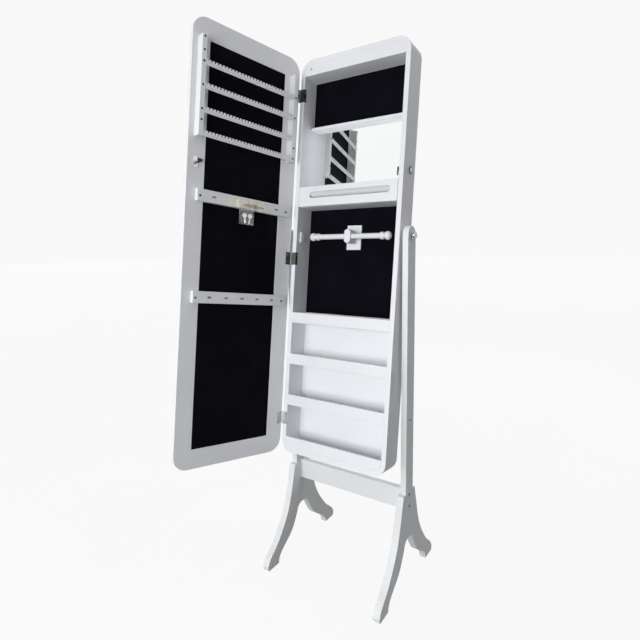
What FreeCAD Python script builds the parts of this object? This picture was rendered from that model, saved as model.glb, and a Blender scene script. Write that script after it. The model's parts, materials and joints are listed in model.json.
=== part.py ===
import FreeCAD, Part
import os

os.makedirs("parts", exist_ok=True)

V = FreeCAD.Vector

# ---------------------------------------------------------------- driving dimensions, mm
# Cabinet body, in its own upright frame: u to the right, v to the back, w up.
CAB_W = 357.0           # outside width
CAB_D = 75.0            # depth of the body without the door
CAB_H = 1200.0          # outside height
SIDE_T = 14.0           # thickness of the side boards
END_T = 16.0            # thickness of the top and bottom boards
CORNER_R = 40.0         # outside radius of the four corners
INNER_R = 24.0          # inside radius of the four corners
BACK_T = 3.0            # back panel
RAIL_T = 9.0            # fascia rails
RAIL_H = 32.0           # every fascia rail and necklace bar is cut to this height
FLOOR_T = 6.0           # thin inner boards
POCKET_TOPS = (435.0, 307.0, 179.0)   # top edges of fascia rails A, B and C
TOP_PAD_V = 61.0        # front of the padded back in the upper compartment
MIRROR_V = 66.0         # front of the inner mirror
LEDGE_V, LEDGE_W0, LEDGE_W1 = 47.0, 1003.0, 1012.0
DRAWER_W0, DRAWER_W1 = 758.0, 818.0   # drawer front, bottom and top
DRAWER_GAP = 0.8
DRAWER_DEPTH = 50.0     # tray behind the front

# Where the body hangs in the stand and how it rests.
PIVOT_V, PIVOT_W = 26.5, 668.0
PIVOT_Z = 1033.0        # height of the tilt axis above the floor
TILT = 7.5              # top leans back by this much
DOOR_OPEN = 104.0       # door stands open by this much

# Door.
HINGE_U, HINGE_V = -3.0, 0.0          # hinge pin line
DOOR_GAP = 2.0          # between door and cabinet front
DOOR_T = 16.0
DOOR_EDGE_R = 6.0       # rounding of the outer edge of the door
GLASS_T = 3.0
GLASS_INSET = 9.0
HINGE_CENTRES = (104.0, 600.0, 1096.0)
KNUCKLE_L, KNUCKLE_R, PIN_R = 38.0, 3.0, 1.5
LEAF_T = 0.8
VELVET_U0, VELVET_U1, VELVET_W0, VELVET_W1 = 55.0, 306.0, 54.0, 1144.0
RACK_D = 24.0           # how far the earring rack stands out from the door
RACK_W0, RACK_W1 = 887.0, 1144.0
BAR_D = 12.0            # thickness of the necklace bars
EAR_BARS = ((1068.0, 1083.0), (1008.0, 1023.0), (947.0, 962.0), (887.0, 902.0))
NECK_BARS = (722.0, 453.0)            # lower edges
SLOT_U = (71.0, 123.0, 175.0, 227.0, 279.0)   # short slots in the necklace bars

# Lock.
LOCK_V, LOCK_W = 44.0, 849.0

# Stand, in its own frame: x to the right from the middle, y to the back from the posts' middle.
POST_IN = 186.0         # inner face of each post from the middle
POST_T = 17.0
POST_R = 25.0           # half the depth of a post, and the radius of its rounded top
LEG_IN = 182.0          # inner face of each leg, which is thicker than its post
LEG_T = POST_IN + POST_T - LEG_IN
LEG_TOP = 293.0
RAIL_Z0, RAIL_Z1, RAIL_Y0, RAIL_Y1 = 237.0, 300.0, -6.0, 12.0
SCREW_Y, SCREW_ZS = 1.5, (284.0, 248.0)   # screws through each leg into the cross rail

# Origin: middle of the object's outline on the floor as it rests with the door open.
SHIFT_X, SHIFT_Y = 35.65, 131.6


# ---------------------------------------------------------------- helpers
def box(x0, x1, y0, y1, z0, z1):
    return Part.makeBox(x1 - x0, y1 - y0, z1 - z0, V(x0, y0, z0))


def rod(start, axis, radius, length):
    return Part.makeCylinder(radius, length, V(*start), V(*axis))


def round_rect(u0, u1, w0, w1, radius, v0, v1):
    """Upright plate with four rounded corners, seen from the front."""
    plate = box(u0, u1, v0, v1, w0, w1)
    edges = [e for e in plate.Edges if abs(e.Vertexes[0].Y - e.Vertexes[-1].Y) > 1e-6]
    return plate.makeFillet(radius, edges)


def join(solids):
    return Part.makeCompound(solids)


def fused(solids):
    body = solids[0]
    for other in solids[1:]:
        body = body.fuse(other)
    return body.removeSplitter()


def moved(shape, turn=None):
    """Place a shape built in the cabinet's own frame into the resting object."""
    shape = shape.copy()
    if turn is not None:
        shape.rotate(V(*turn[0]), V(*turn[1]), turn[2])
    shape.translate(V(-CAB_W / 2 + SHIFT_X, -PIVOT_V + SHIFT_Y, PIVOT_Z - PIVOT_W))
    shape.rotate(V(SHIFT_X, SHIFT_Y, PIVOT_Z), V(1, 0, 0), -TILT)
    return shape


def in_cabinet(shape):
    return moved(shape)


def on_door(shape):
    """Built as if the door were shut; swung open about the hinge pins."""
    return moved(shape, ((HINGE_U, HINGE_V, 0), (0, 0, 1), -DOOR_OPEN))


def in_stand(shape):
    shape = shape.copy()
    shape.translate(V(SHIFT_X, SHIFT_Y, 0))
    return shape


def save(name, shape):
    solids = shape.Solids
    shape = solids[0] if len(solids) == 1 else Part.makeCompound(solids)
    shape.exportStep("parts/%s.step" % name)


# ---------------------------------------------------------------- stand
def post(side):
    """Upright board with a rounded top, drilled for the tilt knob."""
    x0 = POST_IN if side > 0 else -POST_IN - POST_T
    board = box(x0, x0 + POST_T, -POST_R, POST_R, LEG_TOP, PIVOT_Z)
    cap = rod((x0, 0, PIVOT_Z), (1, 0, 0), POST_R, POST_T)
    hole = rod((x0 - 1, 0, PIVOT_Z), (1, 0, 0), 4.05, POST_T + 2)
    return fused([board, cap]).cut(hole)


def leg(side):
    """Board that flares into two feet, with an arch cut between them."""
    x0 = LEG_IN if side > 0 else -LEG_IN - LEG_T
    outer = [(40, LEG_TOP), (52, 247), (62, 210), (75, 170), (95, 130), (122, 92), (148, 62),
             (172, 42), (187, 24)]
    inner = [(137, 4), (132, 20), (121, 32), (103, 46), (67, 73), (48, 99), (32, 128)]

    def half(sign):
        out = Part.BSplineCurve()
        out.interpolate([V(x0, sign * y, z) for y, z in outer])
        arch = Part.BSplineCurve()
        arch.interpolate([V(x0, sign * y, z) for y, z in inner])
        toe = [V(x0, sign * 187, 24), V(x0, sign * 191, 14), V(x0, sign * 189, 3),
               V(x0, sign * 186, 0), V(x0, sign * 138, 0), V(x0, sign * 137, 4)]
        crown = Part.Arc(V(x0, sign * 32, 128), V(x0, sign * 25, 142), V(x0, sign * 9, 150))
        edges = [Part.LineSegment(V(x0, 0, LEG_TOP), V(x0, sign * 40, LEG_TOP)).toShape(), out.toShape()]
        edges += [Part.LineSegment(a, b).toShape() for a, b in zip(toe[:-1], toe[1:])]
        edges += [arch.toShape(), crown.toShape(),
                  Part.LineSegment(V(x0, sign * 9, 150), V(x0, 0, 150)).toShape(),
                  Part.LineSegment(V(x0, 0, 150), V(x0, 0, LEG_TOP)).toShape()]
        face = Part.Face(Part.Wire(Part.__sortEdges__(edges)))
        return face.extrude(V(LEG_T, 0, 0))

    whole = fused([half(-1), half(1)])
    face = side * (LEG_IN + LEG_T)
    for z in SCREW_ZS:
        whole = whole.cut(rod((face, SCREW_Y, z), (-side, 0, 0), 5.1, 6))
        whole = whole.cut(rod((x0 - 1, SCREW_Y, z), (1, 0, 0), 2.6, LEG_T + 2))
    return whole


def stand_screws():
    """Two screws through each leg into the rail and one small plug on each post."""
    parts = []
    for side in (-1, 1):
        face = side * (POST_IN + POST_T)
        for z in SCREW_ZS:
            parts.append(fused([rod((face, SCREW_Y, z), (-side, 0, 0), 5.0, 6),
                                rod((face - side * 6, SCREW_Y, z), (-side, 0, 0), 2.5, LEG_T + 18)]))
        plug = Part.makeSphere(3.2, V(face - side * 1.6, -2, 512))
        parts.append(plug.common(box(-300, 300, -50, 50, 500, 530)
                                 .cut(box(-POST_IN - POST_T, POST_IN + POST_T, -50, 50, 500, 530))))
    return join(parts)


def cross_rail():
    rail = box(-LEG_IN, LEG_IN, RAIL_Y0, RAIL_Y1, RAIL_Z0, RAIL_Z1)
    for side in (-1, 1):
        for z in SCREW_ZS:
            rail = rail.cut(rod((side * (LEG_IN + 1), SCREW_Y, z), (-side, 0, 0), 2.5, 26))
    return rail


def knob(side):
    """Clamp knob with its stud, which runs through the post into the pivot block."""
    face = side * (POST_IN + POST_T)
    out = (side, 0, 0)
    collar = rod((face, 0, PIVOT_Z), out, 10.0, 1.5)
    neck = rod((face + side * 1.5, 0, PIVOT_Z), out, 5.5, 3.0)
    head = rod((face + side * 4.5, 0, PIVOT_Z), out, 10.0, 8.0)
    rim = [e for e in head.Edges if e.Curve.TypeId == "Part::GeomCircle"]
    head = head.makeFillet(2.5, rim)
    stud = rod((face, 0, PIVOT_Z), (-side, 0, 0), 4.0, POST_T + 6.5)
    return fused([collar, neck, head, stud])


# ---------------------------------------------------------------- cabinet body
def shell():
    """Rounded ring of the body, cut into two sides and two bent ends."""
    outer = round_rect(0, CAB_W, 0, CAB_H, CORNER_R, 0, CAB_D)
    inner = round_rect(SIDE_T, CAB_W - SIDE_T, END_T, CAB_H - END_T, INNER_R, -1, CAB_D + 1)
    ring = outer.cut(inner)
    low, high, mid = CORNER_R, CAB_H - CORNER_R, CAB_W / 2

    def part_of(u0, u1, w0, w1):
        return ring.common(box(u0, u1, -5, CAB_D + 5, w0, w1)).Solids

    def end(w0, w1):
        return join(part_of(-1, CORNER_R, w0, w1) + part_of(CORNER_R, CAB_W - CORNER_R, w0, w1)
                    + part_of(CAB_W - CORNER_R, CAB_W + 1, w0, w1))

    left = part_of(-1, mid, low, high)[0]
    right = part_of(mid, CAB_W + 1, low, high)[0]
    left = left.cut(rod((-1, PIVOT_V, PIVOT_W), (1, 0, 0), 7.0, SIDE_T + 2))
    right = right.cut(rod((CAB_W + 1, PIVOT_V, PIVOT_W), (-1, 0, 0), 7.0, SIDE_T + 2))
    right = right.cut(rod((CAB_W + 1, LOCK_V, LOCK_W), (-1, 0, 0), 9.0, SIDE_T + 2))
    return left, right, end(high, CAB_H + 1), end(-1, low)


def inner_box(v0, v1, w0, w1):
    """Board or pad filling the width between the side boards."""
    return box(SIDE_T, CAB_W - SIDE_T, v0, v1, w0, w1)


def fascia_rail(w_top, lower_corner=0):
    rail = inner_box(0, RAIL_T, w_top - RAIL_H, w_top)
    if lower_corner:
        rail = rail.common(round_rect(SIDE_T, CAB_W - SIDE_T, END_T, CAB_H - END_T, INNER_R, -1, 99))
    return rail


def pivot_blocks():
    """Threaded block let into each side board; the knobs' studs end in them."""
    parts = []
    for side in (-1, 1):
        inner = SIDE_T if side < 0 else CAB_W - SIDE_T
        outer = 0 if side < 0 else CAB_W
        plate = box(min(inner, inner - side * 5), max(inner, inner - side * 5),
                    PIVOT_V - 9, PIVOT_V + 9, PIVOT_W - 16, PIVOT_W + 16)
        sleeve = rod((outer + side * 7.0, PIVOT_V, PIVOT_W), (-side, 0, 0), 6.9, SIDE_T + 7.0)
        bore = rod((outer + side * 9.0, PIVOT_V, PIVOT_W), (-side, 0, 0), 4.06, SIDE_T + 8.0)
        parts.append(fused([plate, sleeve]).cut(bore))
    return join(parts)


def bracelet_stem():
    stem = round_rect(167.5, 189.5, 649.5, 690.5, 10.9, 24.0, 66.5)
    front = [e for e in stem.Edges if all(abs(x.Y - 24.0) < 1e-6 for x in e.Vertexes)]
    stem = stem.makeFillet(3.0, front)
    return stem.cut(rod((160, 37, 670), (1, 0, 0), 8.0, 40))


def bracelet_rod():
    """Turned rod: straight shank, two beads and a ball at each end."""
    mid = CAB_W / 2
    half = [(0, 8.0), (100, 8.0), (102, 8.8), (105, 10.5), (109, 11.0), (113, 10.3), (116.5, 8.6),
            (119.5, 10.4), (124, 12.1), (129, 12.3), (133, 10.4), (136, 6.4), (137.5, 0)]
    points = [V(mid - x, 37 + r, 670) for x, r in reversed(half)]
    points += [V(mid + x, 37 + r, 670) for x, r in half[1:]]
    face = Part.Face(Part.makePolygon(points + [points[0]]))
    return face.revolve(V(mid, 37, 670), V(1, 0, 0), 360)


def knuckles(spans, bore):
    tubes = []
    for w0, w1 in spans:
        tube = rod((HINGE_U, HINGE_V, w0), (0, 0, 1), KNUCKLE_R, w1 - w0)
        tubes.append(tube.cut(rod((HINGE_U, HINGE_V, w0 - 1), (0, 0, 1), bore, w1 - w0 + 2)))
    return tubes


def hinge_leaves_cabinet():
    leaves = []
    for centre in HINGE_CENTRES:
        w0, w1 = centre - KNUCKLE_L / 2, centre + KNUCKLE_L / 2
        spans = ((w0, w0 + 12), (w1 - 12, w1))
        arm = [box(HINGE_U, SIDE_T, -LEAF_T, 0, a, b) for a, b in spans]
        flat = box(0.5, SIDE_T, -LEAF_T, 0, w0, w1)
        wrap = box(SIDE_T, SIDE_T + LEAF_T, -LEAF_T, 9, w0, w1)
        leaf = fused([flat, wrap] + arm + knuckles(spans, PIN_R))
        leaves.append(leaf.cut(rod((HINGE_U, HINGE_V, w0 - 1), (0, 0, 1), PIN_R, KNUCKLE_L + 2)))
    return join(leaves)


def hinge_leaves_door():
    leaves = []
    for centre in HINGE_CENTRES:
        w0, w1 = centre - KNUCKLE_L / 2, centre + KNUCKLE_L / 2
        span = (w0 + 12.3, w1 - 12.3)
        flat = box(0.5, 17, -DOOR_GAP, -DOOR_GAP + LEAF_T, w0, w1)
        arm = box(HINGE_U, 1, -DOOR_GAP, -DOOR_GAP + LEAF_T, *span)
        leaf = fused([flat, arm] + knuckles((span,), PIN_R + 0.05))
        leaves.append(leaf.cut(rod((HINGE_U, HINGE_V, w0 - 1), (0, 0, 1), PIN_R + 0.05, KNUCKLE_L + 2)))
    return join(leaves)


def hinge_pins():
    return join([rod((HINGE_U, HINGE_V, c - KNUCKLE_L / 2), (0, 0, 1), PIN_R, KNUCKLE_L)
                 for c in HINGE_CENTRES])


def lock_body():
    """Round key housing through the right side board."""
    housing = fused([rod((CAB_W, LOCK_V, LOCK_W), (1, 0, 0), 11.0, 2.5),
                     rod((CAB_W, LOCK_V, LOCK_W), (-1, 0, 0), 9.0, 20.0)])
    return housing.cut(rod((CAB_W + 5, LOCK_V, LOCK_W), (-1, 0, 0), 6.05, 40))


def lock_plug():
    """Key plug; its square end carries the lever."""
    plug = rod((CAB_W + 3.0, LOCK_V, LOCK_W), (-1, 0, 0), 6.0, 23.5)
    end = box(330.0, CAB_W - 20.4, LOCK_V - 3, LOCK_V + 3, LOCK_W - 3, LOCK_W + 3)
    slot = box(CAB_W + 1.0, CAB_W + 4.0, LOCK_V - 1.0, LOCK_V + 1.0, LOCK_W - 3.5, LOCK_W + 3.5)
    return fused([plug, end]).cut(slot)


def lock_lever():
    """Hooked lever: reaches to the front, its head drops behind the door's latch."""
    eye = rod((334.0, LOCK_V, LOCK_W), (1, 0, 0), 8.0, 2.0)
    arm = box(334.0, 336.0, 7.5, LOCK_V, LOCK_W - 6, LOCK_W + 3)
    head = box(334.0, 336.0, 7.5, 14.0, LOCK_W - 20, LOCK_W + 3)
    square = box(333.0, 337.0, LOCK_V - 3, LOCK_V + 3, LOCK_W - 3, LOCK_W + 3)
    return fused([eye, arm, head]).cut(square)


# ---------------------------------------------------------------- drawer
def drawer_front():
    """Front board with a long rounded finger groove."""
    front = box(SIDE_T + DRAWER_GAP, CAB_W - SIDE_T - DRAWER_GAP, 0, 12, DRAWER_W0 + 0.4, DRAWER_W1)
    return front.cut(round_rect(53, 320, 783, 802, 9.4, -1, 9))


def drawer_parts():
    u0, u1 = SIDE_T + 4, CAB_W - SIDE_T - 4
    v0, v1 = 12.0, 12.0 + DRAWER_DEPTH
    w0, w1 = DRAWER_W0 + 7.2, DRAWER_W1 - 9
    base = box(u0, u1, v0, v1, w0, w0 + 4)
    walls = join([box(u0, u0 + 8, v0, v1, w0 + 4, w1), box(u1 - 8, u1, v0, v1, w0 + 4, w1),
                  box(u0 + 8, u1 - 8, v1 - 8, v1, w0 + 4, w1)])
    lining = box(u0 + 8, u1 - 8, v0, v1 - 8, w0 + 4, w0 + 5.5)
    return base, walls, lining


# ---------------------------------------------------------------- door
def door_panel():
    """Rounded slab with a rounded outer edge and a shallow recess for the velvet."""
    slab = round_rect(0, CAB_W, 0, CAB_H, CORNER_R + 2, -DOOR_GAP - DOOR_T, -DOOR_GAP)
    front = [e for e in slab.Edges if all(abs(x.Y + DOOR_GAP + DOOR_T) < 1e-6 for x in e.Vertexes)]
    slab = slab.makeFillet(DOOR_EDGE_R, front)
    return slab.cut(box(VELVET_U0, VELVET_U1, -DOOR_GAP - 2, -DOOR_GAP + 1, VELVET_W0, VELVET_W1))


def earring_bar(w0, w1):
    """Thin bar with a comb of notches along its top and a row of small holes."""
    front, back = RACK_D - DOOR_GAP, RACK_D - DOOR_GAP - 3
    bar = box(36, 327, back, front, w0, w1)
    cuts = []
    count = 29
    for i in range(count):
        u = 181.5 + (i - (count - 1) / 2) * 10.0
        cuts.append(box(u - 2.2, u + 2.2, back - 1, front + 1, w1 - 5, w1 + 1))
        cuts.append(rod((u + 5.0, back - 1, w0 + 5.5), (0, 1, 0), 1.4, 5))
    return bar.cut(Part.makeCompound(cuts))


def rack_rail(u0):
    return box(u0, u0 + 14, -DOOR_GAP, RACK_D - DOOR_GAP, RACK_W0, RACK_W1)


def necklace_bar(w0):
    """Board with five short shallow slots along its middle."""
    face = BAR_D - DOOR_GAP
    bar = box(17, 329, -DOOR_GAP, face, w0, w0 + RAIL_H)
    for u in SLOT_U:
        bar = bar.cut(round_rect(u - 6, u + 6, w0 + 13.5, w0 + 18.5, 2.4, face - 4, face + 1))
    return bar


def door_screws():
    """Raised heads of the screws that hold the rack and the necklace bars."""
    heads = []

    def head(u, v, w):
        disc = rod((u, v, w), (0, 1, 0), 3.0, 1.0)
        rim = [e for e in disc.Edges if all(abs(x.Y - v - 1.0) < 1e-6 for x in e.Vertexes)
               and e.Curve.TypeId == "Part::GeomCircle"]
        heads.append(disc.makeChamfer(0.4, rim))

    for w in (1138, 1104, 1076, 1016, 955, 927):
        head(334, RACK_D - DOOR_GAP, w)
    for w in (1076, 1016, 927, 896):
        head(29, RACK_D - DOOR_GAP, w)
    for bar in NECK_BARS:
        for u in (35, 321):
            head(u, BAR_D - DOOR_GAP, bar + 14)
    return join(heads)


def latch():
    """Bent metal catch near the free edge: foot, arm and lip."""
    v0 = -DOOR_GAP
    foot = box(326, 341, v0, v0 + 1.5, 809, 837)
    arm = box(326, 327.5, v0, 23.5, 821, 827)
    lip = box(326, 340, 22.0, 23.5, 821, 827)
    return fused([foot, arm, lip])


def key_bag():
    """Small clear pouch, open at the top, hanging in front of the upper necklace bar."""
    v0 = BAR_D - DOOR_GAP + 0.1
    pouch = box(151, 200, v0, v0 + 2.6, 679, 734)
    return pouch.cut(box(151.6, 199.4, v0 + 0.4, v0 + 2.2, 679.6, 735))


def key_tape():
    """Strip of tape that holds the pouch on the bar."""
    face = BAR_D - DOOR_GAP
    over = [box(122, 150.5, face, face + 0.3, 724, 743), box(200.5, 204, face, face + 0.3, 724, 743)]
    steps = [box(150.5, 150.8, face, face + 3.1, 724, 743), box(200.2, 200.5, face, face + 3.1, 724, 743)]
    return fused(over + steps + [box(150.5, 200.5, face + 2.8, face + 3.1, 724, 743)])


def keys():
    """Two flat keys inside the pouch."""
    parts = []
    v0 = BAR_D - DOOR_GAP + 0.7
    for u, lean in ((163, 8), (180, -6)):
        bow = rod((u, v0, 704), (0, 1, 0), 7.5, 1.4)
        blade = box(u - 2.6, u + 2.6, v0, v0 + 1.4, 682, 704)
        key = fused([bow, blade]).cut(rod((u, v0 - 1, 707), (0, 1, 0), 2.0, 4))
        key.rotate(V(u, v0, 700), V(0, 1, 0), lean)
        parts.append(key)
    return join(parts)


# ---------------------------------------------------------------- build
def build_stand():
    save("left_post", in_stand(post(-1)))
    save("right_post", in_stand(post(1)))
    save("left_leg", in_stand(leg(-1)))
    save("right_leg", in_stand(leg(1)))
    save("cross_rail", in_stand(cross_rail()))
    save("stand_screws", in_stand(stand_screws()))
    save("left_knob", in_stand(knob(-1)))
    save("right_knob", in_stand(knob(1)))


def build_cabinet():
    left, right, top, bottom = shell()
    save("left_side", in_cabinet(left))
    save("right_side", in_cabinet(right))
    save("top_board", in_cabinet(top))
    save("bottom_board", in_cabinet(bottom))
    inside = round_rect(SIDE_T, CAB_W - SIDE_T, END_T, CAB_H - END_T, INNER_R, -1, CAB_D)
    back_v = CAB_D - BACK_T
    save("back_panel", in_cabinet(inside.common(inner_box(back_v, CAB_D, 0, CAB_H))))
    save("top_rail", in_cabinet(fascia_rail(CAB_H - END_T, 1)))
    ceiling_w = CAB_H - END_T - RAIL_H
    save("ceiling_board", in_cabinet(inner_box(RAIL_T, back_v, ceiling_w, ceiling_w + FLOOR_T)))
    save("top_pad", in_cabinet(inner_box(TOP_PAD_V, back_v, LEDGE_W1, ceiling_w)))
    save("ledge", in_cabinet(inner_box(LEDGE_V, back_v, LEDGE_W0, LEDGE_W1)))
    save("inner_mirror", in_cabinet(inner_box(MIRROR_V, MIRROR_V + GLASS_T, DRAWER_W1, LEDGE_W0)))
    save("mirror_backing", in_cabinet(inner_box(MIRROR_V + GLASS_T, back_v, DRAWER_W1, LEDGE_W0)))
    save("drawer_cover", in_cabinet(inner_box(12.5, back_v, DRAWER_W1 - FLOOR_T, DRAWER_W1)))
    save("drawer_floor", in_cabinet(inner_box(12.5, back_v, DRAWER_W0, DRAWER_W0 + FLOOR_T)))
    save("velvet_lining", in_cabinet(inner_box(back_v - 1.2, back_v, POCKET_TOPS[0], DRAWER_W0)))
    for name, top_w in zip("abc", POCKET_TOPS):
        floor_w = top_w - RAIL_H
        save("rail_" + name, in_cabinet(fascia_rail(top_w)))
        save("pocket_floor_" + name, in_cabinet(inner_box(RAIL_T, back_v, floor_w, floor_w + FLOOR_T)))
    save("rail_d", in_cabinet(fascia_rail(END_T + RAIL_H, 1)))
    save("pivot_blocks", in_cabinet(pivot_blocks()))
    save("bracelet_plate", in_cabinet(box(154.5, 202.5, 66.5, back_v - 1.2, 633.5, 706.5)))
    save("bracelet_stem", in_cabinet(bracelet_stem()))
    save("bracelet_rod", in_cabinet(bracelet_rod()))
    save("hinge_leaves_cabinet", in_cabinet(hinge_leaves_cabinet()))
    save("hinge_pins", in_cabinet(hinge_pins()))
    save("lock_body", in_cabinet(lock_body()))
    save("lock_plug", in_cabinet(lock_plug()))
    save("lock_lever", in_cabinet(lock_lever()))
    bumper = Part.makeSphere(4.0, V(35, 2.4, 1171)).common(box(20, 50, -5, 0, 1160, 1180))
    save("door_bumper", in_cabinet(bumper))


def build_drawer():
    base, walls, lining = drawer_parts()
    save("drawer_front", in_cabinet(drawer_front()))
    save("drawer_base", in_cabinet(base))
    save("drawer_walls", in_cabinet(walls))
    save("drawer_lining", in_cabinet(lining))


def build_door():
    save("door_panel", on_door(door_panel()))
    velvet = box(VELVET_U0, VELVET_U1, -DOOR_GAP - 2, -DOOR_GAP - 0.3, VELVET_W0, VELVET_W1)
    save("door_velvet", on_door(velvet))
    front = -DOOR_GAP - DOOR_T
    glass = round_rect(GLASS_INSET, CAB_W - GLASS_INSET, GLASS_INSET, CAB_H - GLASS_INSET,
                       CORNER_R - 7, front - GLASS_T, front)
    save("door_mirror", on_door(glass))
    save("rack_rail_hinge_side", on_door(rack_rail(22)))
    save("rack_rail_free_side", on_door(rack_rail(327)))
    for number, (w0, w1) in enumerate(EAR_BARS, 1):
        save("earring_bar_%d" % number, on_door(earring_bar(w0, w1)))
    save("necklace_bar_upper", on_door(necklace_bar(NECK_BARS[0])))
    save("necklace_bar_lower", on_door(necklace_bar(NECK_BARS[1])))
    save("door_screws", on_door(door_screws()))
    save("latch", on_door(latch()))
    save("hinge_leaves_door", on_door(hinge_leaves_door()))
    save("key_bag", on_door(key_bag()))
    save("key_tape", on_door(key_tape()))
    save("keys", on_door(keys()))


build_stand()
build_cabinet()
build_drawer()
build_door()
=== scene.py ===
"""Looks of a free-standing tilting jewelry cabinet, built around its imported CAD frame.

The cabinet, its drawer, lock and door are modelled in the cabinet's own upright frame:
u to the right, v to the back, w up, in metres from the lower left front corner of the body.
The door is modelled as if it were shut, and its matrix swings it open.
"""

import json
import math
import random

import bmesh
import bpy
from mathutils import Matrix, Quaternion, Vector, noise

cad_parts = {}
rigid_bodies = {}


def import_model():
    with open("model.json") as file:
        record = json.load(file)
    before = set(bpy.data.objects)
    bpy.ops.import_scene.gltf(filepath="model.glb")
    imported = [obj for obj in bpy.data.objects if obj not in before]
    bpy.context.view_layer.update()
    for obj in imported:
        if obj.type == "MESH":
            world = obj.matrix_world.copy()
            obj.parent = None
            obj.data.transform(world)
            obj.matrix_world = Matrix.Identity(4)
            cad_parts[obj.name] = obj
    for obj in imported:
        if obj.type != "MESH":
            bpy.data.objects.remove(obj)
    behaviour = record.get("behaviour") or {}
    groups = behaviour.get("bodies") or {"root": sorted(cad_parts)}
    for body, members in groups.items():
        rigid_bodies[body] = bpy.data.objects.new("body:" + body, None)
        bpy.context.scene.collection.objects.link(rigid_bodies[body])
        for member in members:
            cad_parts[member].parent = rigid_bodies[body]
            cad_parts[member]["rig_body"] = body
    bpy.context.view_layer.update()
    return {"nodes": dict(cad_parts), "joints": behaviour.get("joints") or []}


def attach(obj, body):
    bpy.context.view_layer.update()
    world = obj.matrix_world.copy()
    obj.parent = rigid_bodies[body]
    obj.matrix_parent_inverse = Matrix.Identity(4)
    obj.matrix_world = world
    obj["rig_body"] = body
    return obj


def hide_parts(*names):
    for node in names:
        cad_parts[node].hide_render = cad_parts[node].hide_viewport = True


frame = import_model()
NODES = frame["nodes"]
JOINTS = {joint["name"]: joint for joint in frame["joints"]}
MM = 0.001
WELD = 2e-6                     # vertices of a CAD mesh closer than this are one
FLAT = math.radians(0.5)        # faces that meet at less than this are one flat area
SMALL = {"segments": 2, "angle": 50.0}      # rounding of fine edges, as on metal fittings


# ---------------------------------------------------------------- places
def corners(points):
    """Lowest and highest corner of some points."""
    return (Vector([min(p[i] for p in points) for i in range(3)]),
            Vector([max(p[i] for p in points) for i in range(3)]))


def span(node, place=None):
    """Lowest and highest corner of a CAD node, in a place's own frame."""
    back = place.inverted() if place else Matrix.Identity(4)
    return corners([back @ v.co for v in NODES[node].data.vertices])


def cabinet_place():
    """The body's upright frame in the row frame, from the tilt axis and the hinge line."""
    down = Vector(JOINTS["door_hinge"]["axis"])
    lean = math.atan2(-down.y, -down.z)
    upright = Matrix.Translation(JOINTS["tilt"]["pos_m"]) @ Matrix.Rotation(-lean, 4, "X")
    side = span("left_side", upright)[0]
    corner = Vector((side.x, side.y, span("bottom_board", upright)[0].z))
    return upright @ Matrix.Translation(corner)


CAB = cabinet_place()
HINGE = CAB.inverted() @ Vector(JOINTS["door_hinge"]["pos_m"])
SWING = math.radians(JOINTS["door_hinge"]["range_deg"][0])
DOOR = (CAB @ Matrix.Translation(HINGE) @ Matrix.Rotation(SWING, 4, "Z")
        @ Matrix.Translation(-HINGE))
STAND = Matrix.Translation((JOINTS["tilt"]["pos_m"][0], JOINTS["tilt"]["pos_m"][1], 0))


# ---------------------------------------------------------------- material helpers
class Nodes:
    """A material's node tree with short ways to add nodes and links."""

    def __init__(self, name):
        self.material = bpy.data.materials.new(name)
        self.material.use_nodes = True
        self.tree = self.material.node_tree
        self.shader = self.tree.nodes["Principled BSDF"]
        self.where = self.add("ShaderNodeTexCoord").outputs["Object"]

    def add(self, kind, **inputs):
        node = self.tree.nodes.new(kind)
        for key, value in inputs.items():
            node.inputs[key.replace("_", " ")].default_value = value
        return node

    def link(self, a, b):
        self.tree.links.new(a, b)

    def noise(self, scale, detail=3.0, stretch=None, distortion=0.0):
        node = self.add("ShaderNodeTexNoise", Scale=scale, Detail=detail, Distortion=distortion)
        source = self.where
        if stretch:
            mapping = self.add("ShaderNodeMapping", Scale=stretch)
            self.link(source, mapping.inputs["Vector"])
            source = mapping.outputs["Vector"]
        self.link(source, node.inputs["Vector"])
        return node.outputs["Fac"]

    def ramp(self, fac, stops):
        node = self.add("ShaderNodeValToRGB")
        ramp = node.color_ramp
        while len(ramp.elements) < len(stops):
            ramp.elements.new(0.5)
        for element, (place, colour) in zip(ramp.elements, stops):
            element.position = place
            element.color = (*colour, 1.0)
        self.link(fac, node.inputs["Fac"])
        return node.outputs["Color"]

    def spread(self, fac, low, high):
        """Noise, which stays mostly between 0.3 and 0.7, spread over low to high."""
        node = self.add("ShaderNodeMapRange", From_Min=0.3, From_Max=0.7, To_Min=low, To_Max=high)
        self.link(fac, node.inputs["Value"])
        return node.outputs["Result"]

    def mix(self, fac, a, b):
        """Two colours, mixed; the numbers are the mix node's colour sockets."""
        node = self.add("ShaderNodeMix")
        node.data_type = "RGBA"
        self.link(fac, node.inputs[0])
        self.link(a, node.inputs[6])
        self.link(b, node.inputs[7])
        return node.outputs[2]

    def bump(self, *layers):
        """Bump from (height, strength, distance) layers, one on top of the other."""
        normal = None
        for height, strength, distance in layers:
            node = self.add("ShaderNodeBump", Strength=strength, Distance=distance)
            self.link(height, node.inputs["Height"])
            if normal:
                self.link(normal, node.inputs["Normal"])
            normal = node.outputs["Normal"]
        self.link(normal, self.shader.inputs["Normal"])

    def colour(self, output):
        self.link(output, self.shader.inputs["Base Color"])

    def roughness(self, output):
        self.link(output, self.shader.inputs["Roughness"])

    def set(self, **values):
        for key, value in values.items():
            self.shader.inputs[key.replace("_", " ")].default_value = value


def shade(colour, factor):
    """Lighter or darker colour."""
    return tuple(min(1.0, c * factor) for c in colour)


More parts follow.
